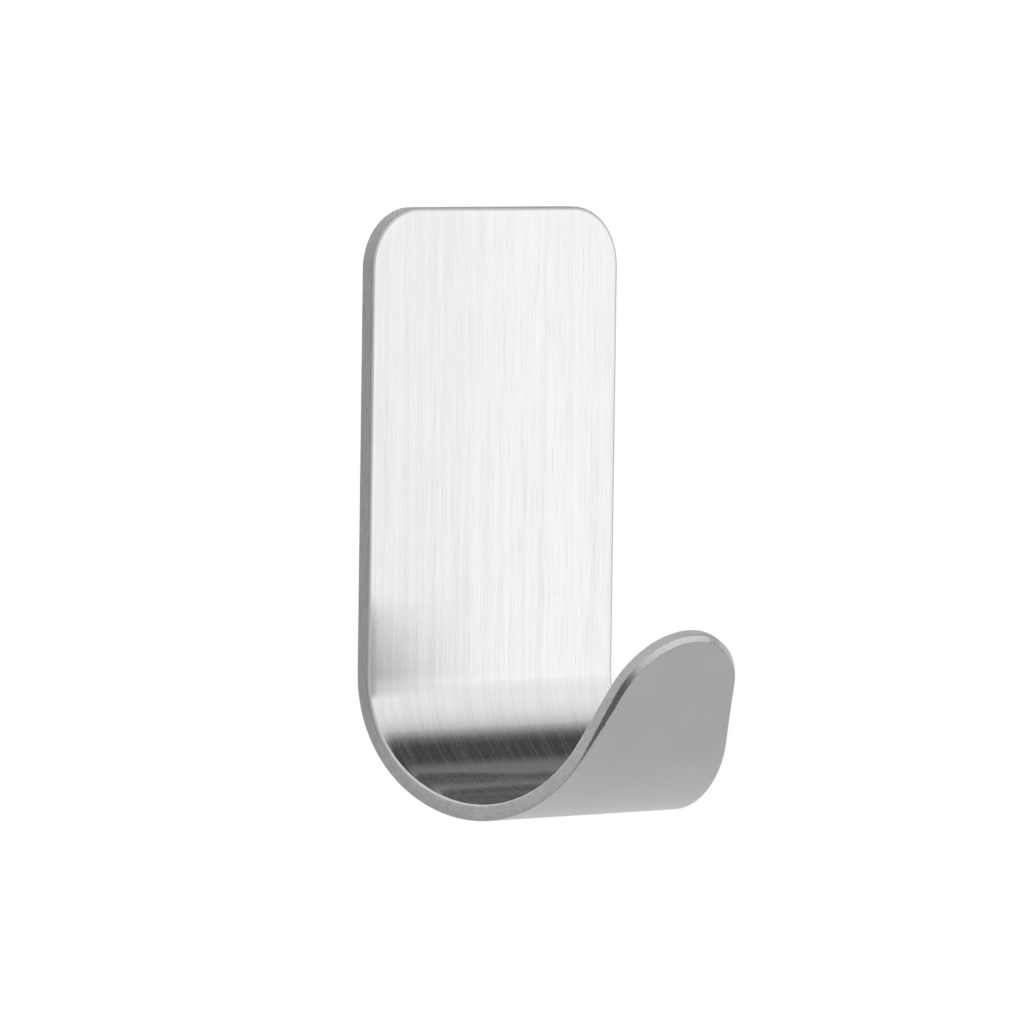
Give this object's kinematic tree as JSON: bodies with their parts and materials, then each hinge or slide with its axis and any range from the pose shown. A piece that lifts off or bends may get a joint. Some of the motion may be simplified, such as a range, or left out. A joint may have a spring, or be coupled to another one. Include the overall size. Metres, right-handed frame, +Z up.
{
  "type": "adhesive wall hook",
  "caption": "Brushed steel J-shaped wall hook with a round-cornered back plate, a tapered round-tipped lip and an adhesive foam pad with a pull-off liner.",
  "frame": {"origin": "middle of the face that meets the wall, behind the flat back plate", "axes": "+Z up, +X across the plate, +Y into the wall; the hook stands out towards -Y"},
  "size_m": [0.03, 0.0297, 0.0545],
  "materials": {
    "brushed_steel": "fine brushing along the strip, ground bevelled edges",
    "adhesive": "tacky, glossy coat",
    "foam": "matte closed-cell foam",
    "liner": "smooth film with faint creases"
  },
  "bodies": {
    "hook": {"hook": "brushed_steel", "plate_adhesive": "adhesive", "foam_pad": "foam", "wall_adhesive": "adhesive"},
    "liner": {"release_liner": "liner"}
  },
  "joints": [
    {"name": "liner_pull", "type": "slide", "parent": "hook", "child": "liner", "axis": [0, 1, 0], "range_m": [0, 0.03]}
  ]
}
